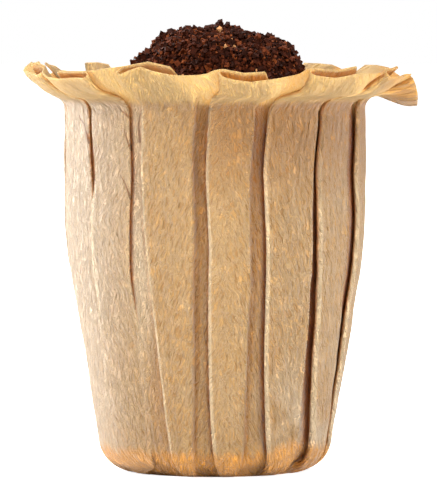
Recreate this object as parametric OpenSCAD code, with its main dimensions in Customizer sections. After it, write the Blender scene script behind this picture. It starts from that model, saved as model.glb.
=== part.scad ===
// Pleated paper coffee filter cup, standing on its base and heaped with ground coffee.
// Millimetres. The cup stands on z = 0 and its front faces -Y.
// A bearing is an angle round the cup in degrees: 0 at the front, growing towards +X.
// A meridian is the curve that the paper follows from the middle of the base to the rim.

/* [Paper] */
// Thickness of the filter paper
paper_t = 0.2; // [0.15:0.05:0.25]

/* [Cup] */
// Height of the crease where the wall turns out into the rim
shoulder_h = 60.4; // [56:0.2:80]
// Outside diameter of the upright wall, over the pleats
body_d = 50.2; // [48:0.2:60]
// Height where the taper of the lower wall meets the upright wall
taper_h = 38; // [28:1:44]
// Height over which the wall bends from the taper to upright
knee_h = 11; // [4:1:12]
// Diameter of the flat that the cup stands on
base_flat_d = 27; // [18:1:28]
// Radius of the rounded corner between the base and the wall
corner_r = 6; // [4:0.5:8]

/* [Pleats] */
// Number of pleats round the cup
pleats = 15; // [11:1:17]
// How many of them lie over to the left; the rest lie over to the right
left_pleats = 3; // [1:1:5]
// Bearing of the furrow where the two kinds face each other
seam_bearing = -30; // [-180:5:180]
// Width of that furrow in degrees
seam_gap = 6.5; // [4:0.5:9]
// Air between two layers of paper in a flat pleat
layer_air = 0.15; // [0.14:0.01:0.2]
// Width of the slope that drops from a panel into the furrow beside it
step_w = 1; // [0.6:0.1:1.1]
// Height at which the pleats reach their full depth
full_fold_h = 50; // [40:1:60]
// Share of the creases' drift round the cup between the top of the taper and the base
base_drift = 1; // [0:0.1:1.5]

/* [Rim] */
// Usual length of paper from the shoulder to the uneven edge of the rim
rim_l = 8; // [5:0.5:10]
// Radius of the bend at the shoulder
shoulder_r = 2; // [1.8:0.1:3]
// How much the rim curls up over its length, in degrees
rim_curl = 24; // [0:2:30]

/* [Coffee] */
// Drop from the shoulder to the height where the ground coffee meets the wall
fill_drop = 0.5; // [0.5:0.5:5]
// Height of the dome that the coffee makes from the wall to the middle
dome_rise = 9; // [2:0.5:11]
// Height of the mound on top of that dome
mound_rise = 5; // [4:0.2:12]
// Radius of the mound at half its height
mound_r = 12.5; // [9:0.5:16]
// Width over which the edges of the mound and of the spill fall away
mound_edge = 4.5; // [4:0.5:10]
// How far the mound stands off the middle, towards +X
mound_shift = 1.5; // [-3:0.5:3]
// Height of the small spill of grounds beside the mound
spill_rise = 2; // [2:0.5:9]
// Radius of the spill at half its height
spill_r = 3.2; // [2.4:0.2:5]
// How far the spill stands off the middle
spill_out = 10.5; // [8:0.5:14]
// Bearing of the spill
spill_bearing = -80; // [-180:5:180]
// Height of the clumps that the grounds cling together in
lump_h = 0.5; // [0.1:0.1:0.8]
// Distance between two clumps
lump_gap = 7; // [5:0.5:10]
// Play between the coffee and the innermost layer of paper
coffee_play = 0.3; // [0.1:0.1:0.6]

/* [Hidden] */

paper_colour = "#d9b284";
coffee_colour = "#43210f";

body_r = body_d / 2;
base_r = base_flat_d / 2;
right_pleats = pleats - left_pleats;
pitch = (360 - seam_gap) / pleats;
layer_gap = paper_t + layer_air;
fill_h = shoulder_h - fill_drop;

// Hand-set unevenness of the pleats, in order from the seam towards +X.
// Nudge of each boundary between two pleats in degrees
nudges = [-1.5, 0.5, -1, -0.5, 2.5, 1, 0, -1, 1, 0, -1, 1, -1, -5, 1.5, -1];
// Drift of each boundary between the top of the taper and the base in degrees
base_turns = [0, -7, -2, 5, 7, 6, 5, 3, 1, -2, -4, -5, -6, -1, -6, -3];
// Turn of each boundary between the wall and the rim in degrees
rim_turns = [1, 5, 10, 16, 10, 5, 2, 5, 2, 4, 6, 2, -2, -7, -8, -5];
// Share of its pitch that each raised panel covers at the top of the wall
panel_shares = [0.79, 0.74, 0.9, 0.66, 0.78, 0.72, 0.82, 0.75, 0.7, 0.8, 0.74, 0.78, 0.8, 0.84, 0.88];
// Depth of each pleat as a multiple of the flat pleat's
lifts = [1.3, 1.4, 1.6, 2.6, 1.9, 1.4, 1.1, 1.3, 1.6, 1.1, 1.3, 1.5, 1.2, 1, 1.3];
// Depth of each pleat at the rim's edge as a multiple of its depth on the wall
rim_openings = [1.9, 1.7, 1.4, 1, 1.3, 1.6, 2.4, 1.6, 1.4, 1.6, 2.2, 1.6, 1.6, 3, 1.6];

// Slope of the rim against the level at each bearing, set by hand
rim_slopes = [
    [-180, 15], [-160, 12], [-146, 10], [-138, 17], [-126, 13], [-119, 17], [-112, 25], [-100, 27],
    [-90, 27], [-82, 25], [-75, 23], [-66, 20], [-54, 15], [-44, 13], [-36, 12], [-30, 13], [-26, 19],
    [-22, 30], [-18, 23], [-14, 20], [-9, 20], [-4, 17], [1, 20], [4, 15], [10, 11], [15, 13], [20, 18],
    [26, 19], [31, 17], [36, 16], [41, 17], [47, 19], [54, 20], [62, 15], [70, 17], [76, 15], [81, 4],
    [86, -15], [91, -25], [98, -26], [105, -12], [112, 6], [122, 15], [138, 10], [152, 17], [166, 13],
    [180, 15]
];
// Share of the rim's length that is left at each bearing by its uneven edge
rim_lengths = [
    [-180, 1], [-150, 0.95], [-120, 1], [-95, 0.95], [-75, 0.93], [-60, 0.93], [-45, 1], [-30, 1.03],
    [-24, 1.1], [-17, 1.03], [-8, 1], [60, 1], [70, 1.05], [76, 1.01], [81, 0.87], [86, 0.76],
    [92, 0.73], [98, 0.75], [110, 0.93], [125, 1], [150, 0.95], [180, 1]
];

// Share of a boundary's turn that is made by the top of the wall, and by the shoulder's end
wall_turn = 0.18;
shoulder_turn = 0.4;
// Share of the rim's length in which the turn is finished
turn_end = 0.4;
// How far the middle layer lies back against the inner one at the rim's edge, in layers
rim_middle_back = 0.4;
// Share of a panel's width that is left at the rim's edge
rim_panel = 0.8;
// Share of that width which is still folded under
rim_overlap = 0.85;
// Share of a furrow's width over which the paper slopes down into it at the rim's edge
rim_foot = 0.6;
// Layer that it has come down to there
rim_foot_layer = 0.7;
// Power by which the pleats deepen with height
fold_power = 0.4;
// Share of the full fold at which the layers have come apart
parting = 0.15;
// How far the middle layer leans while the fold is still narrow, in layers
middle_lean = 0.35;
// Width of overlap at which the middle layer has come to lie flat
lean_w = 1.2;
// The fold's hidden tip stops short of the panel's end by this much
tip_back = 0.7;
// Share of a furrow's width that is left at the base
furrow_left = 0.35;

// Points along one pleat, from its crease: share of its pitch while the paper is still flat
flat_shares = [0, 0.17, 0.33, 0.39, 0.455, 0.52, 0.58, 0.7, 0.83, 0.92];
// The layer that each point lies on: 0 outermost, 1 between, 2 innermost
layers = [2, 2, 2, 1, 1, 1, 0, 0, 0, 2];
// How each point shares in the middle layer's lean
leans = [0, 0, 0, 1, 0, -1, 0, 0, 0, 0];
foot_j = len(layers) - 1;
// How far each point moves back, in layers, on the way to the rim's edge
rim_shifts = [for (j = [0 : foot_j])
    layers[j] == 1 ? rim_middle_back : j == foot_j ? rim_foot_layer - layers[j] : 0];
pleat_points = len(layers);
columns = pleats * pleat_points;

// Stations along the meridian, each [kind, share of that stretch]
CORNER = 0;
TAPER = 1;
KNEE = 2;
UPRIGHT = 3;
SHOULDER = 4;
RIM = 5;
stations = [
    [CORNER, 0], [CORNER, 0.3], [CORNER, 0.62], [CORNER, 1], [TAPER, 0.2], [TAPER, 0.55], [TAPER, 1],
    [KNEE, 0.5], [KNEE, 1], [UPRIGHT, 0.5], [UPRIGHT, 1], [SHOULDER, 0.5], [SHOULDER, 1],
    [RIM, 0.2], [RIM, 0.45], [RIM, 0.72], [RIM, 1]
];
last = len(stations) - 1;

function mix(a, b, t) = a + (b - a) * t;
function clamp01(x) = min(1, max(0, x));
function smooth(x) = let (t = clamp01(x)) t * t * (3 - 2 * t);
function pick(list, k) = list[k % len(list)];
function unit(v) = v / norm(v);
function left_of(v) = [-v[1], v[0]];
function wrapped(bearing) = bearing - 360 * floor((bearing + 180) / 360);

// The tapered wall is tangent to the corner's arc, and an arc joins it to the upright wall.
taper_run = [body_r - base_r, taper_h - corner_r];
wall_angle = 90 + atan2(taper_run[1], taper_run[0]) - acos(corner_r / norm(taper_run));
tangent_end = [base_r + corner_r * sin(wall_angle), corner_r * (1 - cos(wall_angle))];
knee_r = knee_h / 2 / tan((90 - wall_angle) / 2);
knee_start = [body_r, taper_h] - knee_h / 2 * [cos(wall_angle), sin(wall_angle)];

// A point of the outer surface's meridian: [radius, height, angle of travel above level]
function corner_point(t) =
    let (a = t * wall_angle) [base_r + corner_r * sin(a), corner_r * (1 - cos(a)), a];
function taper_point(t) =
    let (p = mix(tangent_end, knee_start, t)) [p[0], p[1], wall_angle];
function knee_point(t) =
    let (a = mix(wall_angle, 90, t))
    [body_r - knee_r * (1 - sin(a)), taper_h + knee_h / 2 - knee_r * cos(a), a];
function upright_point(t) = [body_r, mix(taper_h + knee_h / 2, shoulder_h, t), 90];
function shoulder_point(t, slope) =
    let (a = mix(90, slope, t)) [body_r + shoulder_r * (1 - sin(a)), shoulder_h + shoulder_r * cos(a), a];
function rim_point(t, slope, bearing) =
    let (
        start = shoulder_point(1, slope),
        chord = slope + rim_curl * t / 2,
        length = rim_l * lookup(bearing, rim_lengths) * t
    )
    [start[0] + length * cos(chord), start[1] + length * sin(chord), slope + rim_curl * t];

function meridian(station, bearing) =
    let (kind = station[0], t = station[1], slope = lookup(wrapped(bearing), rim_slopes))
    kind == CORNER ? corner_point(t)
    : kind == TAPER ? taper_point(t)
    : kind == KNEE ? knee_point(t)
    : kind == UPRIGHT ? upright_point(t)
    : kind == SHOULDER ? shoulder_point(t, slope)
    : rim_point(t, slope, wrapped(bearing));

// A place on the paper: depth is measured inwards from the outer surface.
function place(station, bearing, depth) =
    let (m = meridian(station, bearing), r = m[0] - depth * sin(m[2]))
    [r * sin(bearing), -r * cos(bearing), m[1] + depth * cos(m[2])];

// How far the paper is folded at a station, from 0 for flat to 1
function fold(station) = min(1, pow(meridian(station, 0)[1] / full_fold_h, fold_power));
function rim_share(station) = station[0] == RIM ? station[1] : 0;
function turn_of(station) =
    station[0] == UPRIGHT ? wall_turn * smooth(2 * station[1] - 1)
    : station[0] == SHOULDER ? mix(wall_turn, shoulder_turn, station[1])
    : station[0] == RIM ? mix(shoulder_turn, 1, smooth(station[1] / turn_end))
    : 0;

// The bearing where pleat k begins, with its drift near the base and its turn in the rim
function boundary(k, station) =
    seam_bearing + seam_gap / 2 + k * pitch + pick(nudges, k)
        + pick(base_turns, k) * base_drift * (1 - clamp01(meridian(station, 0)[1] / taper_h))
        + pick(rim_turns, k) * turn_of(station);

function layer_depth(k, station) =
    layer_gap * pick(lifts, k) * min(1, fold(station) / parting)
        * mix(1, pick(rim_openings, k), rim_share(station));

// Bearings of a folded pleat's points from its crease, for a pleat of a given span
function folded_offsets(k, station, span) =
    let (
        upright = clamp01(meridian(station, 0)[1] / taper_h),
        per_mm = 180 / PI / meridian(station, 0)[0],
        opening = rim_share(station),
        furrow = (1 - pick(panel_shares, k)) * mix(furrow_left, 1, smooth(upright)),
        end = (1 - furrow) * span * mix(1, rim_panel, opening) - step_w * per_mm,
        tip = end * mix(1, rim_overlap, opening) - tip_back * per_mm,
        foot = end + mix(step_w * per_mm, rim_foot * (span - end), opening)
    )
    [0, tip / 2, tip, tip, tip / 2, 0, 0, end / 2, end, foot];

// One pleat's centre line at a station, from left to right, as [bearing, depth] pairs
function pleat_line(k, station) =
    let (
        leans_left = k >= right_pleats,
        from = boundary(k, station),
        to = boundary(k + 1, station),
        start = leans_left ? to : from,
        side = leans_left ? -1 : 1,
        folded = folded_offsets(k, station, to - from),
        offsets = [for (j = [0 : pleat_points - 1])
            mix(flat_shares[j] * (to - from), folded[j], fold(station))],
        overlap = (offsets[3] - offsets[5]) * meridian(station, 0)[0] * PI / 180,
        lean = middle_lean * (1 - clamp01(overlap / lean_w)),
        deep = layer_depth(k, station),
        order = leans_left ? [pleat_points - 1 : -1 : 0] : [0 : pleat_points - 1]
    )
    [for (j = order)
        let (layer = layers[j] + leans[j] * lean + rim_shifts[j] * rim_share(station))
        [start + side * offsets[j], paper_t / 2 + layer * deep]];

function ring_line(station) = [for (k = [0 : pleats - 1]) each pleat_line(k, station)];

// The sheet's two faces stand half a thickness to either side of its centre line.
mitre_limit = 1.5;
function mitre(before, after) =
    let (m = (left_of(before) + left_of(after)) / max(1 + before * after, 0.2))
    m * min(1, mitre_limit / norm(m));
function face_ring(station, side) =
    let (
        line = ring_line(station),
        radius = meridian(station, 0)[0],
        per_degree = radius * PI / 180,
        flat = [for (p = line) [p[0] * per_degree, -p[1]]],
        turn = [360 * per_degree, 0]
    )
    [for (c = [0 : columns - 1])
        let (
            here = flat[c],
            before = c == 0 ? flat[columns - 1] - turn : flat[c - 1],
            after = c == columns - 1 ? flat[0] + turn : flat[c + 1],
            moved = here + mitre(unit(here - before), unit(after - here)) * side * paper_t / 2
        )
        place(station, moved[0] / per_degree, -moved[1])];

// Faces between two rings of n points that start at a and b
function band(a, b, n, flip) =
    [for (c = [0 : n - 1])
        let (d = (c + 1) % n, one = [a + c, b + c, b + d], two = [a + c, b + d, a + d])
        each flip ? [[one[2], one[1], one[0]], [two[2], two[1], two[0]]] : [one, two]];
function fan(middle, ring, n, flip) =
    [for (c = [0 : n - 1])
        let (d = (c + 1) % n)
        flip ? [middle, ring + d, ring + c] : [middle, ring + c, ring + d]];

module paper_filter() {
    outer = [for (s = stations) each face_ring(s, 1)];
    inner = [for (s = stations) each face_ring(s, -1)];
    inner_start = len(outer);
    middle_start = 2 * inner_start;
    color(paper_colour)
    polyhedron(
        points = concat(outer, inner, [[0, 0, 0], [0, 0, paper_t]]),
        faces = concat(
            [for (s = [0 : last - 1]) each band(s * columns, (s + 1) * columns, columns, false)],
            [for (s = [0 : last - 1])
                each band(inner_start + s * columns, inner_start + (s + 1) * columns, columns, true)],
            band(last * columns, inner_start + last * columns, columns, false),
            fan(middle_start, 0, columns, false),
            fan(middle_start + 1, inner_start, columns, true)
        )
    );
}

// The coffee's outline inside the deepest furrow
coffee_inset = paper_t + 2 * layer_gap * max(lifts) + coffee_play;
coffee_sectors = 36;
// Rings on the heap, as shares of the coffee's radius
heap_shares = [0.92, 0.84, 0.76, 0.69, 0.62, 0.54, 0.45, 0.35, 0.24, 0.12];
coffee_floor = paper_t + coffee_play;
coffee_stations = [
    [CORNER, 0], [CORNER, 0.4], [CORNER, 0.75], [TAPER, 0], [TAPER, 0.5], [KNEE, 0], [KNEE, 1]
];
coffee_side = concat(
    [for (s = coffee_stations) let (m = meridian(s, 0))
        [m[0] - coffee_inset * sin(m[2]), max(coffee_floor, m[1] + coffee_inset * cos(m[2]))]],
    [[body_r - coffee_inset, fill_h]]
);
coffee_r = body_r - coffee_inset;

// Clumps of grounds, from three waves that run at unlike bearings and distances
function wave(x, y, bearing, gap, start) = sin(360 * (x * sin(bearing) + y * cos(bearing)) / gap + start);
function lumps(x, y) =
    lump_h * (wave(x, y, 64, lump_gap, 0) + 0.9 * wave(x, y, -42, lump_gap, 70)
        + 0.7 * wave(x, y, 170, lump_gap, 140));
function mound(x, y, rise, r) = rise * (1 - smooth((norm([x, y]) - r) / mound_edge + 0.5));
function heap_height(x, y) =
    let (edge = norm([x, y]) / coffee_r, spill = spill_out * [sin(spill_bearing), -cos(spill_bearing)])
    fill_h + dome_rise * (1 - edge * edge)
        + max(mound(x - mound_shift, y, mound_rise, mound_r),
              mound(x - spill[0], y - spill[1], spill_rise, spill_r))
        + lumps(x, y) * min(1, 4 * (1 - edge));

module coffee_grounds() {
    angles = [for (c = [0 : coffee_sectors - 1]) c * 360 / coffee_sectors];
    side = [for (p = coffee_side) each [for (a = angles) [p[0] * sin(a), -p[0] * cos(a), p[1]]]];
    heap = [for (share = heap_shares)
        each [for (a = angles)
            let (x = share * coffee_r * sin(a), y = -share * coffee_r * cos(a)) [x, y, heap_height(x, y)]]];
    rings = len(coffee_side) + len(heap_shares);
    bottom = rings * coffee_sectors;
    color(coffee_colour)
    polyhedron(
        points = concat(side, heap, [[0, 0, coffee_floor], [0, 0, heap_height(0, 0)]]),
        faces = concat(
            [for (i = [0 : rings - 2])
                each band(i * coffee_sectors, (i + 1) * coffee_sectors, coffee_sectors, false)],
            fan(bottom, 0, coffee_sectors, false),
            fan(bottom + 1, (rings - 1) * coffee_sectors, coffee_sectors, true)
        )
    );
}

paper_filter();
coffee_grounds();
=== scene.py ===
# A pleated paper coffee filter cup, standing on its base and heaped with ground coffee.
# Lengths are millimetres until a mesh is written, and a bearing is an angle round the cup in
# degrees: 0 at the front (-Y), growing towards +X.
import math
from functools import partial

import bpy
import numpy as np
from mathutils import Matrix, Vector, noise


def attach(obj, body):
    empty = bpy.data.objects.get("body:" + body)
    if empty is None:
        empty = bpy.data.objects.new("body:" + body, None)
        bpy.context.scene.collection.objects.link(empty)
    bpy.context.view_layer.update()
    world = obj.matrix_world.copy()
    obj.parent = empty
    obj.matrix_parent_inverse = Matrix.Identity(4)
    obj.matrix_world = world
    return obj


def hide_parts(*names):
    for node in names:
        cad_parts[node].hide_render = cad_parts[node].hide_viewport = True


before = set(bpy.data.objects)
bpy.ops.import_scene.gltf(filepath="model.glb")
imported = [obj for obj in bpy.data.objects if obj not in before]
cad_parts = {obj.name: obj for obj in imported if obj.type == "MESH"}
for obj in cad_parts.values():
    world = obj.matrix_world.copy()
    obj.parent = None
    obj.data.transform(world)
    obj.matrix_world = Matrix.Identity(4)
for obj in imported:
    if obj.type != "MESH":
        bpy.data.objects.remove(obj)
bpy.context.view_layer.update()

MM = 0.001

# The cup, as it was folded
PAPER_T = 0.2
SHOULDER_H = 60.4
BODY_R = 25.1
TAPER_H = 38.0
KNEE_H = 11.0
BASE_R = 13.5
CORNER_R = 6.0

# The pleats
PLEATS = 15
LEFT_PLEATS = 3
SEAM_BEARING = -30.0
SEAM_GAP = 6.5
LAYER_GAP = 0.35
STEP_W = 0.45
FULL_FOLD_H = 50.0

# The rim
SHOULDER_R = 2.0
RIM_L = 8.0
RIM_CURL = 24.0

# The ground coffee
FILL_H = 59.9
DOME_RISE = 9.0
MOUND_RISE = 5.0
MOUND_R = 12.5
MOUND_EDGE = 4.5
MOUND_SHIFT = 1.5
SPILL_RISE = 2.0
SPILL_R = 3.2
SPILL_OUT = 10.5
SPILL_BEARING = -80.0
# Low lumps of the heap: three waves, each with its bearing, its start and its share, and how
# fast they rise from the heap's edge
LUMP_H = 0.5
LUMP_GAP = 7.0
LUMP_WAVES = ((64, 0, 1), (-42, 70, 0.9), (170, 140, 0.7))
LUMP_FADE = 4
# The heap's radius at the top, and how far it lies inside the paper's outer face below that
COFFEE_R = 22.78
COFFEE_INSET = 2.32
# The granules: their size and its spread, how deep each sits in sizes, and how much each is
# squashed and broken at its corners
GRAIN = 0.6
GRAIN_MOST = 1.1
GRAIN_SPREAD = (-0.1, 0.35)
GRAIN_SUNK = (-0.4, 0.35)
SQUASHED = (0.5, 1.1)
BROKEN = (0.55, 1.2)
GRAIN_SEED = 5
GRANULES = 13500
TRIES_EACH = 4
# The roast, from 0, dark, to 1, the husk: the lightest grain's, how rare light ones are, and
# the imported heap's
LIGHTEST = 0.9
ROAST_POWER = 1.8
HEAP_ROAST = 0.3
HUSK_SHARE = 0.004
HUSK_ROAST = 0.98
# Clumps of grains on the heap
CLUMP = 2.6
CLUMP_H = 0.6
# How far the mound's top has settled, the share more for each mm to the right, and the heights
# between which that grows
TOP_SETTLED = 0.7
SETTLED_RIGHT = 0.03
SETTLED_Z = (68.0, 73.0)
HEAP_COLUMNS = 120
HEAP_ROWS = 40
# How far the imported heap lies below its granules, in sizes of one, and the pits in each
HEAP_SUNK = 0.3
PIT = 0.35
PIT_DEPTH = 0.12

# The photograph's frame: its height in pixels, its pixels for each mm, how far off and how high in
# degrees the camera stands, and the place in its middle
PHOTO_H = 500
PHOTO_SCALE = 6.0
CAMERA_FAR = 1100.0
CAMERA_ELEVATION = 2.9
AIM = (0.6, 0.0, 36.8)

RIGHT_PLEATS = PLEATS - LEFT_PLEATS
PITCH = (360 - SEAM_GAP) / PLEATS

# Unevenness of the pleats, in order from the seam towards +X: where each starts and how far it
# is turned at the base and in the rim, in degrees, the share of it that its panel covers, and how
# far its layers lie apart
NUDGES = [-1.5, 0.5, -1, -0.5, 2.5, 1, 0, -1, 1, 0, -1, 1, -1, -5, 1.5, -1]
BASE_TURNS = [0, -7, -2, 5, 7, 6, 5, 3, 1, -2, -4, -5, -6, -1, -6, -3]
RIM_TURNS = [1, 5, 10, 16, 10, 5, 2, 5, 2, 4, 6, 2, -2, -7, -8, -5]
PANEL_SHARES = [
    0.79, 0.74, 0.9, 0.66, 0.78, 0.72, 0.82, 0.75, 0.7, 0.8, 0.74, 0.78, 0.8, 0.84, 0.88,
]
LIFTS = [1.3, 1.4, 1.6, 2.6, 1.9, 1.4, 1.1, 1.3, 1.6, 1.1, 1.3, 1.5, 1.2, 1, 1.3]
# Height at which each pleat's fold has sunk flush with the paper beside it, and where it starts to
FLUSH_BELOW = {14: (20, 36), 12: (20, 40), 7: (12, 30), 9: (18, 36)}
# The same for folds that meet the next panel, so that no furrow is left between the two
MEETS_BELOW = {13: (43, 52)}
# How far such a fold reaches over the furrow, how deep it dips into the next panel, and the
# height below which all folds open at the base
FLUSH_OVERHANG = 0.6
MEETS_DIP = 1.5 * PAPER_T
SHUT_H = 1.6
# How far a panel's free edge strays from a straight line, and over which height, in mm
EDGE_STRAY = 0.45
EDGE_STRAY_H = 9.0
# Depth of each pleat at the rim's edge as a multiple of its depth on the wall
RIM_OPENINGS = [1.9, 1.7, 1.4, 1, 1.3, 1.6, 2.4, 1.6, 1.4, 1.6, 2.2, 1.6, 1.6, 3, 1.6]

# Slope of the rim against the level at each bearing
RIM_SLOPES = [
    (-180, 15), (-160, 12), (-146, 10), (-138, 17), (-126, 13), (-119, 17), (-112, 25),
    (-100, 27), (-90, 27), (-82, 25), (-75, 23), (-66, 20), (-54, 15), (-44, 13), (-36, 12),
    (-30, 13), (-26, 19), (-22, 30), (-18, 23), (-14, 20), (-9, 20), (-4, 17), (1, 20), (4, 15),
    (10, 11), (15, 13), (20, 18), (26, 19), (31, 17), (36, 16), (41, 17), (47, 19), (54, 20),
    (62, 15), (70, 17), (76, 15), (81, 4), (86, -15), (91, -25), (98, -26), (105, -12), (112, 6),
    (122, 15), (138, 10), (152, 17), (166, 13), (180, 15),
]
# Share of the rim's length that is left at each bearing by its uneven edge
RIM_LENGTHS = [
    (-180, 1), (-150, 0.95), (-120, 1), (-95, 0.95), (-75, 0.93), (-60, 0.93), (-45, 1),
    (-30, 1.03), (-24, 1.1), (-17, 1.03), (-8, 1), (60, 1), (70, 1.05), (76, 1.01), (81, 0.87),
    (86, 0.76), (92, 0.73), (98, 0.75), (110, 0.93), (125, 1), (150, 0.95), (180, 1),
]

# Share of a boundary's turn that is made on the top of the wall, and then in the shoulder's bend
WALL_TURN = 0.18
WALL_TURN_FROM = 50.0
SHOULDER_TURN = 0.4
TURN_END = 0.4
# How a pleat opens towards the rim's edge: its panel, its middle layer, its step and its fold
RIM_PANEL = 0.8
RIM_MIDDLE_BACK = 0.7
RIM_FOOT = 0.6
RIM_FOOT_LAYER = 0.7
RIM_OVERLAP = 0.85
# How fast the folds close above the base and their layers part, and how the middle layer leans
FOLD_POWER = 0.4
PARTING = 0.15
MIDDLE_LEAN = 0.35
LEAN_W = 1.2
TIP_BACK = 0.7
FURROW_LEFT = 0.35

# Key places along one pleat: share of the pitch while flat, layer of paper and share of the lean
FLAT_SHARES = [0, 0.17, 0.33, 0.39, 0.455, 0.52, 0.58, 0.7, 0.83, 0.92, 1]
LAYERS = [2, 2, 2, 1, 1, 1, 0, 0, 0, 2, 2]
LEANS = [0, 0, 0, 1, 0, -1, 0, 0, 0, 0, 0]
# The key places where the hidden fold, the shown fold, a panel's step and the furrow start or end
TIP, TIP_END, FOLD, FOLD_END, EDGE, FOOT = 2, 3, 5, 6, 8, 9
# Where a fold's crown lies among the key places
CROWN_PLACES = [5, 5.4, 6, 6.06, 6.3]
CROWN_SHARES = [0, 1, 1, 0.55, 0]
# Where the sheet's columns lie among the key places: close at the folds and on the shown panel
COLUMN_PLACES = [
    0, 1, 2, 2.5, 3, 4, 5, 5.25, 5.5, 5.75, 6, 6.06, 6.3, 6.6, 7, 7.35, 7.7, 7.94, 8.1,
    8.4, 8.7, 9, 9.5,
]

# Where a stretch of paper ends, out of sight in a fold, the middle of a pleat's shown panel, and
# how far apart in mm the patterns of two stretches are taken
HIDDEN_PLACE = 2.5
PANEL_MIDDLE = 7
SHEET_STRETCH = 50.0

# Dents of the handled paper: size, depth and start of each scale in mm
DENTS = ((13.0, 0.28, 3), (6.0, 0.2, 17), (2.6, 0.07, 29))
RIM_RUFFLE = 0.6
RIM_RUFFLE_SIZE = 5.0

# The paper's surface: creped fibres, felt, blotches and patches, in mm and degrees. Real fibres
# are about 0.03 mm thick. They are drawn here as far coarser bundles, because only those show at
# the photograph's scale, and their relief is deeper than real for the same reason.
FIBRE_W = 0.4
FIBRE_L = 2.0
FIBRE_H = 1.5
FIBRE_LEAN = 20
FIBRE_WAVE = 3.0
FIBRE_BEND = 0.8
FELT = 0.3
CREPE_W = 0.9
CREPE_L = 4.0
CREPE_LEAN = 4
BLOTCH_W = 1.6
BLOTCH_L = 5.0
BLOTCH_LEAN = 8
PATCH = 9.0
# Each pattern of the paper: the places that it is drawn on, width, length, lean and fineness
PATTERNS = {
    "leaning_right": ("bent", FIBRE_W, FIBRE_L, -FIBRE_LEAN, 2.5),
    "leaning_left": ("bent", FIBRE_W, FIBRE_L, FIBRE_LEAN, 2.5),
    "felt": ("sheet", FELT, FELT, 0, 2.0),
    "crepe": ("bent", CREPE_W, CREPE_L, CREPE_LEAN, 1.0),
    "blotch": ("bent", BLOTCH_W, BLOTCH_L, BLOTCH_LEAN, 2.0),
    "patch": ("sheet", PATCH, PATCH, 0, 1.0),
}
# Part of the relief that the crepe and the strands make, beside the fibres' own
CREPE_RELIEF = 1.2
STRAND_RELIEF = 0.35
# Share of the light that goes through the dry rim and the wall before the grounds, how much
# more goes through inside a fold, and the share of it all that is left at the foot
THROUGH_SHARE = 0.42
WALL_THROUGH = 0.2
FOLD_THROUGH = 0.25
FOOT_THROUGH = 0.2
# Distance over which the paper round a spot closes it in
FOLD_REACH = 2.2
# The foot, painted amber as painted warm shade and bounce light: its upper line, how uneven and
# how soft that is, how much untinted paper shows in it, and how far it rises at one fold
FOOT_TOP = 4.0
FOOT_UNEVEN = 2.4
FOOT_BLEND = 0.6
FOOT_UNTINTED = 0.12
FOOT_RISE_H = 1.8
# Stretches of the cup: the direction, where each starts and is full in mm, and its share at both
ZONES = {
    "right_half": ("X", -2, 5, 0, 1),
    # Painted light: where the left side is painted paler
    "painted_left_sheen": ("X", -9, -24, 0, 0.75),
    "crown_highlight_side": ("X", -16, -12, 0, 1),
    # Painted shade below the rim
    "under_rim_shade_side": ("X", -9, 3, 0, 1),
    "under_rim_shade_height": ("Z", 42, 58, 0, 0.72),
    # Painted sheen low on the right
    "painted_sheen_side": ("X", 0, 12, 0, 1),
    "painted_sheen_height": ("Z", 24, 8, 0, 0.6),
    # Painted glow above the grounds
    "rim_glow_height": ("Z", SHOULDER_H + 1.0, SHOULDER_H + 2.2, 0, 0.9),
    "filled": ("Z", SHOULDER_H + 2.0, SHOULDER_H + 0.6, 0, 1),
    # Painted shade in the furrows
    "furrow_shade_side": ("X", -13, -9, 0, 1),
    "lit_side": ("X", -6, -9, 0, 1),
    "lit_height": ("Z", 16, 36, 0.12, 0.65),
    "glowing_side": ("X", 6, 14, 0, 1),
    "flap": ("X", 26, 31, 0, 0.7),
    "crease_shadow_face": ("Y", -5, -8, 0, 0.8),
    # Where the painted amber foot rises at one fold
    "foot_rise_start": ("X", 8, 13, 0, 1),
    "foot_rise_end": ("X", 18, 13, 0, -FOOT_RISE_H),
}
# Marks on the paper: what each follows, the two values between which it grows, and its share at
# both. A pattern's values lie about 0.5, and a strand lies where the fibres' value is near that.
MARKS = {
    "patched": ("patch", 0.35, 0.65, 0, 1),
    "blotched": ("blotch", 0.5, 0.72, 0, 0.5),
    "strands": ("off_middle", 0.09, 0, 0, 1),
    "pale_strands": ("off_middle", 0.09, 0, 0, 0.55),
    "hollows": ("fibres", 0.46, 0.32, 0, 0.5),
    "flecks": ("felt", 0.74, 0.82, 0, 0.6),
    # Share of the painted highlight on the folds' crowns
    "crowns": ("fold_crown", 0.4, 1, 0, 0.7),
    "painted_sheen_patches": ("patch", 0.3, 0.6, 0, 1),
    # How closed in a spot is, for the painted shade in folds and creases
    "in_fold": ("openness", 0.9, 0.35, 0, 1),
    "crevice_shade_height": ("filled", 0, 1, 0.65, 1),
    "through": ("filled", 0, 1, THROUGH_SHARE, WALL_THROUGH),
    "above_foot": ("foot_line", FOOT_TOP - FOOT_UNEVEN, FOOT_TOP + FOOT_BLEND, 0, 1),
    "foot": ("above_foot", 0, 1, 1 - FOOT_UNTINTED, 0),
    "foot_through": ("above_foot", 0, 1, FOOT_THROUGH, 1),
}
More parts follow.
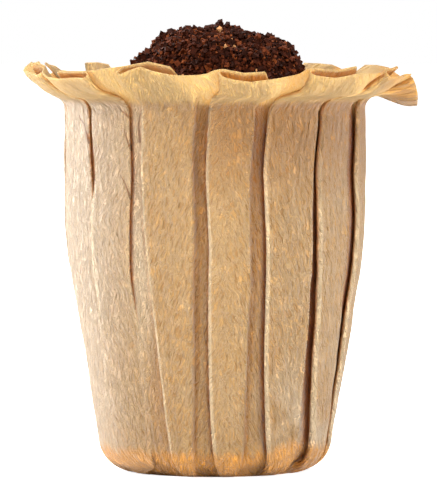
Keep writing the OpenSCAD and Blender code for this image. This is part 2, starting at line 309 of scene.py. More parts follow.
# The paper's tints, each laid over those before it, by the shares that are multiplied for it
FELT_COLOUR = "#C89B60"
TINTS = (
    # Patches and blotches of the felt
    ("#C89F69", "MIX", ("patched",)),
    ("#D6B283", "MIX", ("blotched",)),
    # Painted light: the left side is painted paler, standing in for the light and sheen from the
    # left.
    ("#F0DFC8", "MIX", ("painted_left_sheen",)),
    # Pale strands with dark hollows between them, and dark flecks
    ("#DFBE88", "MIX", ("pale_strands",)),
    ("#8A6238", "MIX", ("hollows",)),
    ("#8F6238", "MIX", ("flecks",)),
    # Painted highlight: the crowns of the folds are painted pale where they catch the light.
    ("#F8DFB4", "MIX", ("crowns", "crown_highlight_side")),
    # Painted shade: the front's right half is painted darker just below the rim, which shades it.
    ("#AE7A40", "MIX", ("under_rim_shade_side", "under_rim_shade_height")),
    # Painted sheen: near the foot on the right, patches are painted paler again.
    ("#EAD3B0", "MIX", ("painted_sheen_patches", "painted_sheen_height", "painted_sheen_side")),
    # Painted glow: above the grounds the paper is painted yellow, for the light from inside the
    # cup.
    ("#F7D388", "MIX", ("rim_glow_height",)),
    # Furrows below the grounds: partly the dark grounds showing through one layer, partly painted
    # shade.
    ("#ECD7B0", "MULTIPLY", ("single", "filled", "furrow_shade_side")),
    # At the left the furrows are not darkened but painted lighter: painted light from the left.
    ("#FFE8C2", "MIX", ("single", "filled", "lit_side", "lit_height")),
    # Painted shade: where the paper is closed in, inside folds and creases, it is painted warm and
    # dark.
    ("#FFAA5C", "MULTIPLY", ("inside",)),
    # Painted glow: the rim's furrows on the right and the flap at its right end are painted orange.
    ("#E29A34", "MIX", ("glow", "rim_glow_height")),
    # Painted shadows of small creases, only on the front of the cup
    ("#8A4F20", "MIX", ("painted_crease_shadows", "crease_shadow_face")),
    # Painted warm shade and bounce light: the foot of the cup is painted amber.
    ("#E29C42", "MIX", ("foot",)),
)
# Painted shadows of small creases in the crowns of the left folds: x and z of their two ends
CREASE_SHADOWS = (
    (-22.3, 59.6, -20.5, 55.2), (-16.0, 61.4, -13.9, 59.4), (-15.0, 57.6, -13.7, 54.2),
    (-15.5, 50.2, -13.6, 46.3), (-12.0, 60.9, -12.3, 55.6),
)
# Their width, the share of it at the first end, and how far they stray
CREASE_SHADOW_W = 0.3
CREASE_SHADOW_START = 0.2
CREASE_SHADOW_STRAY = 0.9

# The studio: the floor's width in m, how bright it shows beside its own shading, and the room
FLOOR_W = 6
FLOOR_GLOW = 0.75
ROOM_LIGHT = 0.42
WHITE = (1.0, 1.0, 1.0)
WARM_WHITE = (1.0, 0.98, 0.95)
# Name, bearing, elevation, distance in m, size in m, power in W and colour
SOFTBOXES = (
    ("left_softbox", -60, 30, 1.2, 0.4, 13.2, WARM_WHITE),
    ("left_back_softbox", -128, 15, 1.0, 0.8, 19.0, WHITE),
    ("top_softbox", 170, 66, 1.1, 0.9, 17.0, WARM_WHITE),
    ("front_top_softbox", 20, 58, 1.2, 0.5, 6.0, WARM_WHITE),
    ("right_softbox", 56, 4, 1.2, 0.7, 19.0, WARM_WHITE),
)

# The parts of the meridian, from the base up, and the rows of the sheet in each
CORNER, TAPER, KNEE, UPRIGHT, SHOULDER, RIM = range(6)
ROW_COUNTS = {CORNER: 12, TAPER: 34, KNEE: 12, UPRIGHT: 22, SHOULDER: 7, RIM: 24}


def linear(hex_colour):
    """The linear RGBA of an sRGB hex colour."""
    parts = [int(hex_colour[i:i + 2], 16) / 255 for i in (1, 3, 5)]
    return [c / 12.92 if c <= 0.04045 else ((c + 0.055) / 1.055) ** 2.4 for c in parts] + [1.0]


def mix(a, b, t):
    """The value a share t of the way from a to b."""
    return a + (b - a) * t


def smooth(x):
    """0 below 0, 1 above 1 and a soft rise between them."""
    t = np.clip(x, 0.0, 1.0)
    return t * t * (3 - 2 * t)


def drift(points, size, start):
    """Smooth random values from -1 to 1, one for each point in mm, that change over a size. Each
    start gives other values."""
    shift = Vector((start, 1.7 * start, 2.3 * start))
    return np.array([noise.noise(Vector(point) / size + shift) for point in points])


def table(bearing, pairs):
    """The value at each bearing of a closed table of (bearing, value) pairs."""
    turned = np.mod(np.asarray(bearing, float) + 180, 360) - 180
    at = np.array([p[0] for p in pairs], float)
    values = np.array([p[1] for p in pairs], float)
    return np.interp(turned, at, values)


# The meridian: the curve that the paper's outer face follows from the base to the rim.
WALL_RUN = BODY_R - BASE_R
WALL_RISE = TAPER_H - CORNER_R
WALL_ANGLE = 90 + math.degrees(
    math.atan2(WALL_RISE, WALL_RUN) - math.acos(CORNER_R / np.hypot(WALL_RUN, WALL_RISE))
)


def ray(angle):
    return np.array([math.cos(math.radians(angle)), math.sin(math.radians(angle))])


TANGENT_END = np.array([BASE_R, CORNER_R]) + CORNER_R * ray(WALL_ANGLE - 90)
KNEE_R = KNEE_H / 2 / math.tan(math.radians((90 - WALL_ANGLE) / 2))
KNEE_START = np.array([BODY_R, TAPER_H]) - KNEE_H / 2 * ray(WALL_ANGLE)


def sin_d(a):
    return np.sin(np.radians(a))


def cos_d(a):
    return np.cos(np.radians(a))


def meridian(row, bearing):
    """Radius, height and angle of travel at a row of the sheet, for each bearing."""
    kind, t = row
    flat = np.zeros_like(bearing)
    slope = table(bearing, RIM_SLOPES)
    if kind == CORNER:
        a = flat + t * WALL_ANGLE
        return BASE_R + CORNER_R * sin_d(a), CORNER_R * (1 - cos_d(a)), a
    if kind == TAPER:
        p = mix(TANGENT_END, KNEE_START, t)
        return flat + p[0], flat + p[1], flat + WALL_ANGLE
    if kind == KNEE:
        a = flat + mix(WALL_ANGLE, 90, t)
        return BODY_R - KNEE_R * (1 - sin_d(a)), TAPER_H + KNEE_H / 2 - KNEE_R * cos_d(a), a
    if kind == UPRIGHT:
        return flat + BODY_R, flat + mix(TAPER_H + KNEE_H / 2, SHOULDER_H, t), flat + 90
    a = mix(90, slope, t if kind == SHOULDER else 1)
    r = BODY_R + SHOULDER_R * (1 - sin_d(a))
    z = SHOULDER_H + SHOULDER_R * cos_d(a)
    if kind == SHOULDER:
        return r, z, a
    chord = slope + RIM_CURL * t / 2
    length = RIM_L * table(bearing, RIM_LENGTHS) * t
    return r + length * cos_d(chord), z + length * sin_d(chord), slope + RIM_CURL * t


def front_point(row):
    """Radius and height of a row at the front of the cup."""
    r, z, a = meridian(row, np.zeros(1))
    return r[0], z[0]


def fold(row):
    """How far the pleats are folded at a row: 0 at the base, 1 at FULL_FOLD_H and above."""
    return min(1.0, (front_point(row)[1] / FULL_FOLD_H) ** FOLD_POWER)


def rim_share(row):
    """How far out on the rim a row lies: 0 on the wall, 1 at the rim's edge."""
    return row[1] if row[0] == RIM else 0.0


def boundary(k, row):
    """The bearing where pleat k begins, with its drift near the base and its turn in the rim."""
    height = front_point(row)[1]
    turn = WALL_TURN * smooth((height - WALL_TURN_FROM) / (SHOULDER_H - WALL_TURN_FROM))
    if row[0] == SHOULDER:
        turn = mix(WALL_TURN, SHOULDER_TURN, row[1])
    if row[0] == RIM:
        turn = mix(SHOULDER_TURN, 1, smooth(row[1] / TURN_END))
    low = 1 - min(1.0, height / TAPER_H)
    even = SEAM_BEARING + SEAM_GAP / 2 + k * PITCH
    return even + NUDGES[k] + BASE_TURNS[k] * low + RIM_TURNS[k] * turn


def closed(heights, k, height):
    """How far pleat k's fold has closed: 0 above the two heights of its entry, 1 below them."""
    if k not in heights:
        return 0.0
    low, high = heights[k]
    return 1 - smooth((height - low) / (high - low))


def pleat_columns(k, row):
    """Bearing and depth of one pleat's columns at a row, from left to right."""
    radius, height = front_point(row)
    degrees_per_mm = math.degrees(1 / radius)
    folded_share = fold(row)
    opening = rim_share(row)
    start, end = boundary(k, row), boundary(k + 1, row)
    span = end - start
    furrow = (1 - PANEL_SHARES[k]) * mix(FURROW_LEFT, 1, smooth(height / TAPER_H))
    stray = EDGE_STRAY * drift([(31.0 * k, 0.0, height)], EDGE_STRAY_H, 5)[0] - STEP_W
    panel = (1 - furrow) * span * mix(1, RIM_PANEL, opening) + stray * degrees_per_mm
    tip = panel * mix(1, RIM_OVERLAP, opening) - TIP_BACK * degrees_per_mm
    foot = panel + mix(STEP_W * degrees_per_mm, RIM_FOOT * (span - panel), opening)
    leans_left = k >= RIGHT_PLEATS
    flush = closed(FLUSH_BELOW, k, height)
    meets = closed(MEETS_BELOW, k, height)
    met = closed(MEETS_BELOW, k - 1 if leans_left else k + 1, height)
    edge = -FLUSH_OVERHANG * max(flush, meets) * degrees_per_mm
    folded = np.array([0, tip / 2, tip, tip, tip / 2, edge, edge, panel / 2, panel, foot, span])
    shut = max(flush, meets) * smooth(height / SHUT_H)
    keys = mix(np.array(FLAT_SHARES) * span, folded, mix(folded_share, 1, shut))
    overlap = (keys[TIP_END] - keys[FOLD]) / degrees_per_mm
    lean = MIDDLE_LEAN * (1 - np.clip(overlap / LEAN_W, 0, 1))
    middle_back = RIM_MIDDLE_BACK * opening
    key_layers = np.array(LAYERS) + np.array(LEANS) * lean + middle_back * (np.array(LAYERS) == 1)
    key_layers[FOOT] = mix(2, RIM_FOOT_LAYER, opening)
    key_layers[FOOT:] *= 1 - met

    places = np.array(COLUMN_PLACES)
    key = np.arange(len(keys))
    across = np.interp(places, key, keys)
    layer = np.interp(places, key, key_layers)
    parted = min(1.0, folded_share / PARTING)
    deep = LAYER_GAP * LIFTS[k] * parted * mix(1, RIM_OPENINGS[k], opening)

    # The folds are round, not sharp, and the step is a soft one.
    bulge = deep / 2 * degrees_per_mm * np.clip(overlap / LEAN_W, 0, 1)
    tip_bulge = bulge * (1 - middle_back)
    fold_bulge = bulge * (1 + middle_back) * (1 - max(flush, meets))
    in_tip = np.clip(places - TIP, 0, 1)
    in_fold = np.clip(places - FOLD, 0, 1)
    across = across + tip_bulge * np.sin(math.pi * in_tip) - fold_bulge * np.sin(math.pi * in_fold)
    on_step = (places > EDGE) & (places < FOOT)
    layer = np.where(on_step, key_layers[FOOT] * smooth(places - EDGE), layer)

    # A flush fold sinks until it dips into the furrow, and one that meets a panel dips into that.
    along = np.clip((across - keys[FOLD_END]) / max(panel - keys[FOLD_END], 1), 0, 1)
    beside = min(k + 1, PLEATS - 1) if leans_left else max(k - 1, 0)
    lowest = 2 * LAYER_GAP * max(LIFTS[beside], LIFTS[k])
    sink = ((lowest + PAPER_T) * flush + MEETS_DIP * meets) * (1 - smooth(along))
    in_furrow = (places > FOOT - 0.1) | (places < 0.5)
    sink = np.where(in_furrow, 0, sink * smooth(height / CORNER_R))

    depth = PAPER_T / 2 + layer * deep + sink
    if leans_left:
        return end - across[::-1], depth[::-1]
    return start + across, depth


def on_each_pleat(share):
    """A pleat's values at its columns, repeated for all columns of the sheet."""
    rows = [share[::-1] if k >= RIGHT_PLEATS else share for k in range(PLEATS)]
    return np.concatenate(rows + [rows[0][:1]])


def single_layers():
    """For each column of the sheet, 1 where a furrow's single layer shows, as at the seam between
    the first pleat and the last, and 0 on folded panels."""
    marks = on_each_pleat(smooth(np.array(COLUMN_PLACES) - EDGE))
    marks[[0, -2, -1]] = 1
    return marks


def fold_crowns():
    """For each column of the sheet, 1 on the crown of a pleat's shown fold and 0 elsewhere."""
    return on_each_pleat(np.interp(COLUMN_PLACES, CROWN_PLACES, CROWN_SHARES))


def place(row, bearing, depth):
    """The points of a row, at depths that are measured inwards from the outer face."""
    r, z, a = meridian(row, bearing)
    r = r - depth * sin_d(a)
    return np.stack([r * sin_d(bearing), -r * cos_d(bearing), z + depth * cos_d(a)], axis=-1)


def sheet_rows():
    """The rows of the sheet, from the base to the rim: a part of the meridian and a share of it."""
    rows = []
    for kind, count in ROW_COUNTS.items():
        first = 0 if kind == CORNER else 1
        rows += [(kind, i / count) for i in range(first, count + 1)]
    return rows


def clear_selection():
    for piece in bpy.context.selected_objects:
        piece.select_set(False)
    bpy.context.view_layer.objects.active = None


def choose(piece):
    clear_selection()
    piece.select_set(True)
    bpy.context.view_layer.objects.active = piece


def apply_modifier(piece, modifier):
    choose(piece)
    bpy.ops.object.modifier_apply(modifier=modifier.name)


def crumple(row, bearing):
    """How far the paper is dented inwards at a row, by the same for all layers, so none cut."""
    r, z = front_point(row)
    points = np.stack([r * sin_d(bearing), -r * cos_d(bearing), np.full_like(bearing, z)], axis=-1)
    springy = rim_share(row)
    dents = sum(deep * drift(points, size, start) for size, deep, start in DENTS)
    ruffles = RIM_RUFFLE * drift(points, RIM_RUFFLE_SIZE, 40)
    return dents * min(1.0, z / CORNER_R) + springy * ruffles


def sheet_columns():
    """For each column of the sheet, its stretch of paper and the column in that one's middle."""
    places = np.array(COLUMN_PLACES)
    hidden = int(np.sum(places < HIDDEN_PLACE))
    middle = int(np.argmin(abs(places - PANEL_MIDDLE)))
    count = len(places)
    ends, middles = [], [0]
    for k in range(PLEATS):
        left = k >= RIGHT_PLEATS
        ends.append(k * count + (count - hidden if left else hidden))
        middles.append(k * count + (count - 1 - middle if left else middle))
    stretch = np.searchsorted(ends, np.arange(PLEATS * count + 1), side="right")
    middles[-1] = PLEATS * count
    return stretch, np.array(middles)[stretch]


def press_sheet(name, points):
    """A flat grid is pressed to the given rows of points, in mm."""
    rows, columns = points.shape[:2]
    clear_selection()
    bpy.ops.mesh.primitive_grid_add(x_subdivisions=columns - 1, y_subdivisions=rows - 1, size=1)
    sheet = bpy.context.object
    sheet.name = name
    sheet.data.vertices.foreach_set("co", (points.reshape(-1, 3) * MM).ravel())
    sheet.data.update()
    return sheet


def close_sheet(sheet):
    """Joins the points of a pressed sheet that lie on each other, and turns its faces outwards."""
    choose(sheet)
    bpy.ops.object.mode_set(mode="EDIT")
    bpy.ops.mesh.select_all(action="SELECT")
    bpy.ops.mesh.remove_doubles(threshold=0.001 * MM)
    bpy.ops.mesh.normals_make_consistent(inside=False)
    bpy.ops.mesh.select_all(action="DESELECT")
    bpy.ops.object.mode_set(mode="OBJECT")


def make_filter():
    """A flat grid of paper is pressed into the cup, closed down its side and at its base."""
    rows = sheet_rows()
    stretch, middles = sheet_columns()
    points, on_sheet = [], []
    for row in rows:
        parts = [pleat_columns(k, row) for k in range(PLEATS)]
        bearing = np.concatenate([p[0] for p in parts])
        depth = np.concatenate([p[1] for p in parts]) + crumple(row, bearing)
        ring = place(row, bearing, depth)
        ring = np.concatenate([ring, ring[:1]])
        steps = np.linalg.norm(np.diff(ring, axis=0), axis=1)
        along = np.concatenate([[0.0], np.cumsum(steps)])
        across = along - along[middles] + SHEET_STRETCH * (stretch % PLEATS)
        points.append(ring)
        on_sheet.append(np.stack([across, ring[:, 2], single_layers()], axis=-1))
    sheet = press_sheet("pleated_paper", np.array(points))
    marks = sheet.data.attributes.new("sheet_mm", "FLOAT_VECTOR", "POINT")
    marks.data.foreach_set("vector", np.array(on_sheet).ravel())
    # The crowns' places carry the painted highlight along the folds.
    crowns = sheet.data.attributes.new("fold_crown", "FLOAT", "POINT")
    crowns.data.foreach_set("value", np.tile(fold_crowns(), len(rows)))
    close_sheet(sheet)

    # The ring of edges at the base is drawn in twice and then to a point.
    for edge in sheet.data.edges:
        ends = [sheet.data.vertices[v].co for v in edge.vertices]
        edge.select = all(p.z < PAPER_T * MM and p.xy.length < (BASE_R + 0.1) * MM for p in ends)
    bpy.ops.object.mode_set(mode="EDIT")
    bpy.ops.mesh.extrude_edges_move()
    bpy.ops.transform.resize(value=(0.5, 0.5, 1), center_override=(0, 0, 0))
    bpy.ops.mesh.extrude_edges_move()
    bpy.ops.transform.resize(value=(0.1, 0.1, 1), center_override=(0, 0, 0))
    bpy.ops.mesh.merge(type="CENTER")
    bpy.ops.mesh.select_all(action="SELECT")
    bpy.ops.mesh.normals_make_consistent(inside=False)
    bpy.ops.object.mode_set(mode="OBJECT")

    wall = sheet.modifiers.new("paper", "SOLIDIFY")
    wall.thickness = PAPER_T * MM
    wall.offset = 0
    apply_modifier(sheet, wall)
    bpy.ops.object.shade_smooth()
    return sheet


def wave(x, y, bearing, start):
    """A wave of lumps that runs at a bearing: one lump for each gap."""
    along = x * sin_d(bearing) + y * cos_d(bearing)
    return sin_d(360 * along / LUMP_GAP + start)


def lumps(x, y):
    """Low lumps of grounds, from waves that run at unlike bearings."""
    return LUMP_H * sum(share * wave(x, y, turn, start) for turn, start, share in LUMP_WAVES)


def mound(x, y, rise, radius):
    """Height of a mound with a level top and a round edge."""
    return rise * (1 - smooth((np.hypot(x, y) - radius) / MOUND_EDGE + 0.5))


def heap_height(x, y):
    """Height of the heap: a dome, the mound on top of it and a small spill beside that."""
    edge = np.hypot(x, y) / COFFEE_R
    spill_x, spill_y = SPILL_OUT * sin_d(SPILL_BEARING), -SPILL_OUT * cos_d(SPILL_BEARING)
    return (
        FILL_H + DOME_RISE * (1 - edge ** 2)
        + np.maximum(mound(x - MOUND_SHIFT, y, MOUND_RISE, MOUND_R),
                     mound(x - spill_x, y - spill_y, SPILL_RISE, SPILL_R))
        + lumps(x, y) * np.minimum(1, LUMP_FADE * (1 - edge))
    )


def heap_steepness(x, y):
    """How much longer the heap's surface is than its plan: 1 where it is level."""
    return np.hypot(np.hypot(heap_height(x + 0.5, y) - heap_height(x - 0.5, y),
                             heap_height(x, y + 0.5) - heap_height(x, y - 0.5)), 1)


def clumped_height(x, y):
    """Height of the heap with the clumps that the grounds cling together in."""
    heap = heap_height(x, y)
    clumps = drift(np.stack([x, y, heap], axis=-1), CLUMP, 7)
    low, high = SETTLED_Z
    settled = TOP_SETTLED * (1 + SETTLED_RIGHT * x) * smooth((heap - low) / (high - low))
    return heap + CLUMP_H * clumps * smooth((COFFEE_R - np.hypot(x, y)) / CLUMP) - settled


def packed_side():
    """Radius and height of the grounds where the cup holds them, from the middle of the base up."""
    walls = [meridian(row, np.zeros(1)) for row in sheet_rows()]
    walls = [
        (r[0] - COFFEE_INSET * sin_d(a[0]), z[0] + COFFEE_INSET * cos_d(a[0]))
        for r, z, a in walls if z[0] < FILL_H
    ]
    return [(0.0, COFFEE_INSET)] + walls


def make_heap():
    """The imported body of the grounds: it fills the cup and stands in a mound above the rim."""
    bearing = np.linspace(0, 360, HEAP_COLUMNS + 1)
    sin, cos = sin_d(bearing), cos_d(bearing)
    rings = [np.stack([r * sin, -r * cos, 0 * sin + z], axis=-1) for r, z in packed_side()]
    for share in np.linspace(1, 0, HEAP_ROWS):
        x, y = COFFEE_R * share * sin, -COFFEE_R * share * cos
        sunk = GRAIN * HEAP_SUNK * heap_steepness(x, y)
        rings.append(np.stack([x, y, clumped_height(x, y) - sunk], axis=-1))
    heap = press_sheet("coffee_heap", np.array(rings))
    close_sheet(heap)
    roast = heap.data.attributes.new("roast", "FLOAT", "POINT")
    places = [v.co / MM for v in heap.data.vertices]
    roast.data.foreach_set("value", HEAP_ROAST * (1 + drift(places, GRAIN / 2, 11)))
    return heap


def make_granules():
    """Broken granules lie all over the mound: one block, its corners broken off in a new way,
    turned and squashed for each."""
    clear_selection()
    bpy.ops.mesh.primitive_cube_add(size=1)
    bpy.ops.object.mode_set(mode="EDIT")
    bpy.ops.mesh.quads_convert_to_tris()
    bpy.ops.object.mode_set(mode="OBJECT")
    block = bpy.context.object
    corners = np.array([v.co for v in block.data.vertices])
    faces = np.array([list(f.vertices) for f in block.data.polygons])
    bpy.data.objects.remove(block)

    rng = np.random.default_rng(GRAIN_SEED)
    tries = TRIES_EACH * GRANULES
    far = COFFEE_R * np.sqrt(rng.uniform(0, 1, tries))
    bearing = rng.uniform(0, 360, tries)
    x, y = far * sin_d(bearing), -far * cos_d(bearing)
    steep = heap_steepness(x, y)
    kept = np.argsort(rng.uniform(0, 1, tries) / steep)[:GRANULES]
    x, y, steep = x[kept], y[kept], steep[kept]
    size = np.minimum(GRAIN * rng.lognormal(*GRAIN_SPREAD, GRANULES), GRAIN_MOST)
    z = clumped_height(x, y) + rng.uniform(*GRAIN_SUNK, GRANULES) * size * steep
    squash = rng.uniform(*SQUASHED, (GRANULES, 1, 3))
    broken = rng.uniform(*BROKEN, (GRANULES, len(corners), 1))
    turns, _ = np.linalg.qr(rng.normal(size=(GRANULES, 3, 3)))
    shapes = corners * broken * squash * size[:, None, None]
    shapes = np.einsum("nij,nkj->nki", turns, shapes) + np.stack([x, y, z], axis=-1)[:, None, :]

    roast = rng.uniform(0, LIGHTEST, GRANULES) ** ROAST_POWER
    roast[rng.uniform(0, 1, GRANULES) < HUSK_SHARE] = 1.0
    mesh = bpy.data.meshes.new("granules")
    every = (faces[None] + len(corners) * np.arange(GRANULES)[:, None, None]).reshape(-1, 3)
    flip = np.repeat(np.linalg.det(turns) < 0, len(faces))
    every[flip] = every[flip][:, ::-1]
    mesh.from_pydata((shapes.reshape(-1, 3) * MM).tolist(), [], every.tolist())
    value = mesh.attributes.new("roast", "FLOAT", "POINT")
    value.data.foreach_set("value", np.repeat(roast, len(corners)))
    granules = bpy.data.objects.new("granules", mesh)
    bpy.context.scene.collection.objects.link(granules)
    return granules


def make_grounds():
    """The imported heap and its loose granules, as one object."""
    heap, granules = make_heap(), make_granules()
    choose(heap)
    granules.select_set(True)
    bpy.ops.object.join()
    heap.name = "heaped_grounds"
    return heap


def make_floor():
    """A wide white board, which the cup stands on."""
    clear_selection()
    bpy.ops.mesh.primitive_plane_add(size=FLOOR_W, location=(0, 0, 0))
    floor = bpy.context.object
    floor.name = "studio_floor"
    floor.data.materials.append(floor_paint())
    return floor


# Settings that several nodes share
MULTIPLY = {"operation": "MULTIPLY"}
MULTIPLY_ADD = {"operation": "MULTIPLY_ADD"}
SOFT = {"interpolation_type": "SMOOTHSTEP"}


def new_material(name):
    material = bpy.data.materials.new(name)
    material.use_nodes = True
    material.node_tree.nodes.clear()
    return material


def add_node(material, kind, settings=None, **links):
    """Adds a node with its settings. A link gives an input its value or the output feeding it."""
    tree = material.node_tree
    node = tree.nodes.new(kind)
    for name, value in (settings or {}).items():
        setattr(node, name, value)
    for name, value in links.items():
        key = int(name[1:]) if name[0] == "i" and name[1:].isdigit() else name.replace("_", " ")
        socket = node.inputs[key]
        if isinstance(value, bpy.types.NodeSocket):
            tree.links.new(value, socket)
        else:
            socket.default_value = value
    return node


def floor_paint():
    """Matt white studio board. It shows as plain white, darkened only by the cup's shadow."""
    material = new_material("matt_white_board")
    board = add_node(material, "ShaderNodeBsdfDiffuse", Color=linear("#F6F6F6"))
    glow = add_node(material, "ShaderNodeEmission", Color=linear("#FFFFFF"), Strength=FLOOR_GLOW)
    none = add_node(material, "ShaderNodeEmission", Color=linear("#000000"), Strength=0.0)
    path = add_node(material, "ShaderNodeLightPath")
    seen = add_node(material, "ShaderNodeMixShader", i0=path.outputs["Is Camera Ray"],
                    i1=none.outputs[0], i2=glow.outputs[0])
    total = add_node(material, "ShaderNodeAddShader", i0=board.outputs[0], i1=seen.outputs[0])
    add_node(material, "ShaderNodeOutputMaterial", Surface=total.outputs[0])
    return material


def filter_paper():
    """Unbleached filter paper, wet-laid and creped. Pale fibres lie steeply over a tan felt and
    catch the light, the felt is blotched, and thin single layers glow yellow against the light."""
    material = new_material("creped_unbleached_filter_paper")
    node = partial(add_node, material)

    # Places on the sheet in mm, and the same bent a little, so that no fibre is straight
    sheet = node("ShaderNodeAttribute", {"attribute_name": "sheet_mm"}).outputs["Vector"]
    wide = node("ShaderNodeMapping", {"vector_type": "TEXTURE"}, Vector=sheet,
                Scale=(FIBRE_WAVE, FIBRE_WAVE, 1))
    waves = node("ShaderNodeTexNoise", {"noise_dimensions": "2D"}, Vector=wide.outputs[0],
                 Scale=1.0, Detail=1.0).outputs["Color"]
    bent = node("ShaderNodeVectorMath", MULTIPLY_ADD, i0=waves, i1=(FIBRE_BEND, FIBRE_BEND, 0),
                i2=sheet).outputs[0]

    # Places on the cup in mm
    in_metres = node("ShaderNodeTexCoord").outputs["Object"]
    on_cup = node("ShaderNodeVectorMath", {"operation": "SCALE"}, i0=in_metres, Scale=1 / MM)
    where = node("ShaderNodeSeparateXYZ", Vector=on_cup.outputs[0]).outputs

    found = {}
    for name, (places, width, length, lean, fineness) in PATTERNS.items():
        drawn = node("ShaderNodeMapping", {"vector_type": "TEXTURE"},
                     Vector=bent if places == "bent" else sheet, Scale=(width, length, 1),
                     Rotation=(0, 0, math.radians(lean)))
        found[name] = node("ShaderNodeTexNoise", {"noise_dimensions": "2D"},
                           Vector=drawn.outputs[0], Scale=1.0, Detail=fineness,
                           Roughness=0.55).outputs["Fac"]
    for name, (direction, start, full, low, high) in ZONES.items():
        found[name] = node("ShaderNodeMapRange", SOFT, Value=where[direction], From_Min=start,
                           From_Max=full, To_Min=low, To_Max=high).outputs[0]

    # Fibres lean right on the left half of the cup and left on its right half
    found["fibres"] = node("ShaderNodeMix", {}, i0=found["right_half"],
                           i2=found["leaning_right"], i3=found["leaning_left"]).outputs[0]
    centred = node("ShaderNodeMath", {"operation": "SUBTRACT"}, i0=found["fibres"], i1=0.5)
    found["off_middle"] = node("ShaderNodeMath", {"operation": "ABSOLUTE"},
                               i0=centred.outputs[0]).outputs[0]
    found["single"] = node("ShaderNodeSeparateXYZ", Vector=sheet).outputs["Z"]
    found["fold_crown"] = node("ShaderNodeAttribute",
                               {"attribute_name": "fold_crown"}).outputs["Fac"]
    found["openness"] = node("ShaderNodeAmbientOcclusion", {"samples": 6, "only_local": True},
                             Distance=FOLD_REACH * MM).outputs["AO"]

    # The foot is painted amber up to an uneven line
    line = node("ShaderNodeMath", MULTIPLY_ADD, i0=found["blotch"], i1=-FOOT_UNEVEN,
                i2=where["Z"])
    found["foot_line"] = node("ShaderNodeMath", MULTIPLY_ADD, i0=found["foot_rise_start"],
                              i1=found["foot_rise_end"], i2=line.outputs[0]).outputs[0]

    for name, (follows, start, full, low, high) in MARKS.items():
        found[name] = node("ShaderNodeMapRange", SOFT, Value=found[follows], From_Min=start,
                           From_Max=full, To_Min=low, To_Max=high).outputs[0]
    found["inside"] = node("ShaderNodeMath", MULTIPLY, i0=found["in_fold"],
                           i1=found["crevice_shade_height"]).outputs[0]
    found["glow"] = node("ShaderNodeMath", MULTIPLY_ADD, i0=found["single"],
                         i1=found["glowing_side"], i2=found["flap"]).outputs[0]

    # Painted crease shadows: how near a spot is to each line between two ends
    spot = node("ShaderNodeCombineXYZ", X=where["X"], Z=where["Z"]).outputs[0]
    spot = node("ShaderNodeVectorMath", MULTIPLY_ADD, i0=waves, i1=(CREASE_SHADOW_STRAY, 0, 0),
                i2=spot).outputs[0]
    found["painted_crease_shadows"] = 0.0
    for x, z, end_x, end_z in CREASE_SHADOWS:
        reach = Vector((end_x - x, 0, end_z - z))
        off = node("ShaderNodeVectorMath", {"operation": "SUBTRACT"}, i0=spot,
                   i1=(x + CREASE_SHADOW_STRAY / 2, 0, z)).outputs[0]
        along = node("ShaderNodeVectorMath", {"operation": "DOT_PRODUCT"}, i0=off,
                     i1=reach / reach.length_squared)
        along = node("ShaderNodeClamp", {}, Value=along.outputs["Value"]).outputs[0]
        nearest = node("ShaderNodeVectorMath", {"operation": "SCALE"}, i0=reach, Scale=along)
        apart = node("ShaderNodeVectorMath", {"operation": "DISTANCE"}, i0=off,
                     i1=nearest.outputs[0]).outputs["Value"]
        width = node("ShaderNodeMath", MULTIPLY_ADD, i0=along, i1=(1 - CREASE_SHADOW_START) * CREASE_SHADOW_W,
                     i2=CREASE_SHADOW_START * CREASE_SHADOW_W).outputs[0]
        core = node("ShaderNodeMath", MULTIPLY, i0=width, i1=0.5).outputs[0]
        crease_shadow = node("ShaderNodeMapRange", SOFT, Value=apart, From_Min=width, From_Max=core)
        found["painted_crease_shadows"] = node("ShaderNodeMath", {"operation": "MAXIMUM"},
                                i0=found["painted_crease_shadows"], i1=crease_shadow.outputs[0]).outputs[0]

    colour = linear(FELT_COLOUR)
    for tint, way, factors in TINTS:
        share = found[factors[0]]
        for factor in factors[1:]:
            share = node("ShaderNodeMath", MULTIPLY, i0=share, i1=found[factor]).outputs[0]
        colour = node("ShaderNodeMix", {"data_type": "RGBA", "blend_type": way}, i0=share,
                      i6=colour, i7=linear(tint)).outputs[2]

    # Little light goes through the foot, and more through the inside of a fold
    share = node("ShaderNodeMath", MULTIPLY_ADD, i0=found["inside"], i1=FOLD_THROUGH,
                 i2=found["through"])
    share = node("ShaderNodeMath", MULTIPLY, i0=share.outputs[0], i1=found["foot_through"])
    shine = node("ShaderNodeMix", {"data_type": "RGBA"}, i0=found["strands"],
                 i6=linear("#EAD09C"), i7=linear("#F3E0BA"))
    through = node("ShaderNodeBsdfTranslucent", Color=shine.outputs[2])
    height = node("ShaderNodeMath", MULTIPLY_ADD, i0=found["strands"], i1=STRAND_RELIEF,
                  i2=found["fibres"])
    height = node("ShaderNodeMath", MULTIPLY_ADD, i0=found["crepe"], i1=CREPE_RELIEF,
                  i2=height.outputs[0])
    relief = node("ShaderNodeBump", Height=height.outputs[0], Strength=1.0,
                  Distance=FIBRE_H * MM)
    paper = node("ShaderNodeBsdfPrincipled", {}, Base_Color=colour, Roughness=0.6,
                 Specular_IOR_Level=0.25, Sheen_Weight=0.3, Sheen_Roughness=0.3,
                 Normal=relief.outputs[0])
    both = node("ShaderNodeMixShader", i0=share.outputs[0], i1=paper.outputs[0],
                i2=through.outputs[0])
    node("ShaderNodeOutputMaterial", Surface=both.outputs[0])
    return material


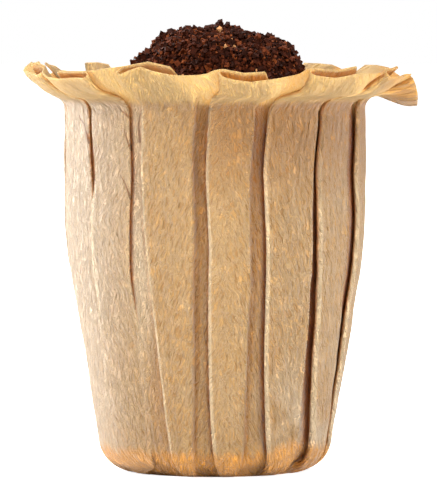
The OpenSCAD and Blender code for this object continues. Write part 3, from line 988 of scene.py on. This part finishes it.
def ground_coffee():
    """Dark-roast coffee, broken in a burr mill. The granules are dry, rough and unevenly roasted,
    and a few flakes of pale husk lie among them."""
    material = new_material("milled_dark_roast_coffee")
    roast = add_node(material, "ShaderNodeAttribute", {"attribute_name": "roast"})
    place = add_node(material, "ShaderNodeTexCoord")
    pits = add_node(material, "ShaderNodeTexNoise", Vector=place.outputs["Object"],
                    Scale=1 / (PIT * MM), Detail=3.0, Roughness=0.6)
    uneven = add_node(material, "ShaderNodeMath", MULTIPLY_ADD, i0=pits.outputs["Fac"], i1=0.3,
                      i2=roast.outputs["Fac"])
    shades = add_node(material, "ShaderNodeValToRGB", Fac=uneven.outputs[0])
    shades.color_ramp.elements[0].position = 0.1
    shades.color_ramp.elements[0].color = linear("#1E0B05")
    shades.color_ramp.elements[1].position = 1.0
    shades.color_ramp.elements[1].color = linear("#7A401E")
    for position, hex_colour in ((0.5, "#3B180B"), (0.8, "#5A2A14")):
        shades.color_ramp.elements.new(position).color = linear(hex_colour)
    husk = add_node(material, "ShaderNodeMath", {"operation": "GREATER_THAN"},
                    i0=roast.outputs["Fac"], i1=HUSK_ROAST)
    colour = add_node(material, "ShaderNodeMix", {"data_type": "RGBA"}, i0=husk.outputs[0],
                      i6=shades.outputs[0], i7=linear("#B98558"))
    relief = add_node(material, "ShaderNodeBump", Height=pits.outputs["Fac"],
                      Distance=PIT_DEPTH * MM)
    bean = add_node(material, "ShaderNodeBsdfPrincipled", {}, Base_Color=colour.outputs[2],
                    Roughness=0.65, Specular_IOR_Level=0.05, Normal=relief.outputs[0])
    add_node(material, "ShaderNodeOutputMaterial", Surface=bean.outputs[0])
    return material


def set_camera():
    """A long lens, far off and a little above the cup, frames it as the photograph does."""
    camera_data = bpy.data.cameras.new("camera")
    camera = bpy.data.objects.new("camera", camera_data)
    bpy.context.scene.collection.objects.link(camera)
    aim = Vector(AIM) * MM
    back = Vector((0, -cos_d(CAMERA_ELEVATION), sin_d(CAMERA_ELEVATION)))
    camera.location = aim + back * CAMERA_FAR * MM
    camera.rotation_euler = (aim - camera.location).to_track_quat("-Z", "Y").to_euler()
    camera_data.sensor_width = 36
    camera_data.lens = camera_data.sensor_width * CAMERA_FAR / (PHOTO_H / PHOTO_SCALE)
    camera_data.clip_end = 20
    bpy.context.scene.camera = camera


def add_softbox(name, bearing, elevation, far, size, power, colour):
    """A square softbox is set up at a bearing and an elevation, turned to the cup."""
    data = bpy.data.lights.new(name, "AREA")
    data.shape = "SQUARE"
    data.size = size
    data.energy = power
    data.color = colour
    lamp = bpy.data.objects.new(name, data)
    bpy.context.scene.collection.objects.link(lamp)
    aim = Vector(AIM) * MM
    out = Vector((
        sin_d(bearing) * cos_d(elevation), -cos_d(bearing) * cos_d(elevation), sin_d(elevation),
    ))
    lamp.location = aim + out * far
    lamp.rotation_euler = (aim - lamp.location).to_track_quat("-Z", "Y").to_euler()


def light_studio():
    """A pale room, seen as white, with softboxes at the left, at the back left, above and behind
    the cup, above its front and at the right."""
    world = bpy.data.worlds.new("studio")
    bpy.context.scene.world = world
    world.use_nodes = True
    world.node_tree.nodes.clear()
    path = add_node(world, "ShaderNodeLightPath")
    room = add_node(world, "ShaderNodeBackground", Color=linear("#FFFFFF"), Strength=ROOM_LIGHT)
    backdrop = add_node(world, "ShaderNodeBackground", Color=linear("#FFFFFF"), Strength=1.0)
    either = add_node(world, "ShaderNodeMixShader", i0=path.outputs["Is Camera Ray"],
                      i1=room.outputs[0], i2=backdrop.outputs[0])
    add_node(world, "ShaderNodeOutputWorld", Surface=either.outputs[0])
    for softbox in SOFTBOXES:
        add_softbox(*softbox)


set_camera()
light_studio()
make_floor()
bpy.context.scene.view_settings.view_transform = "Standard"

paper, coffee = filter_paper(), ground_coffee()
cup = make_filter()
cup.data.materials.append(paper)
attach(cup, "root")
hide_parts("paper_filter")

grounds = make_grounds()
grounds.data.materials.clear()
grounds.data.materials.append(coffee)
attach(grounds, "root")
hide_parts("coffee_grounds")
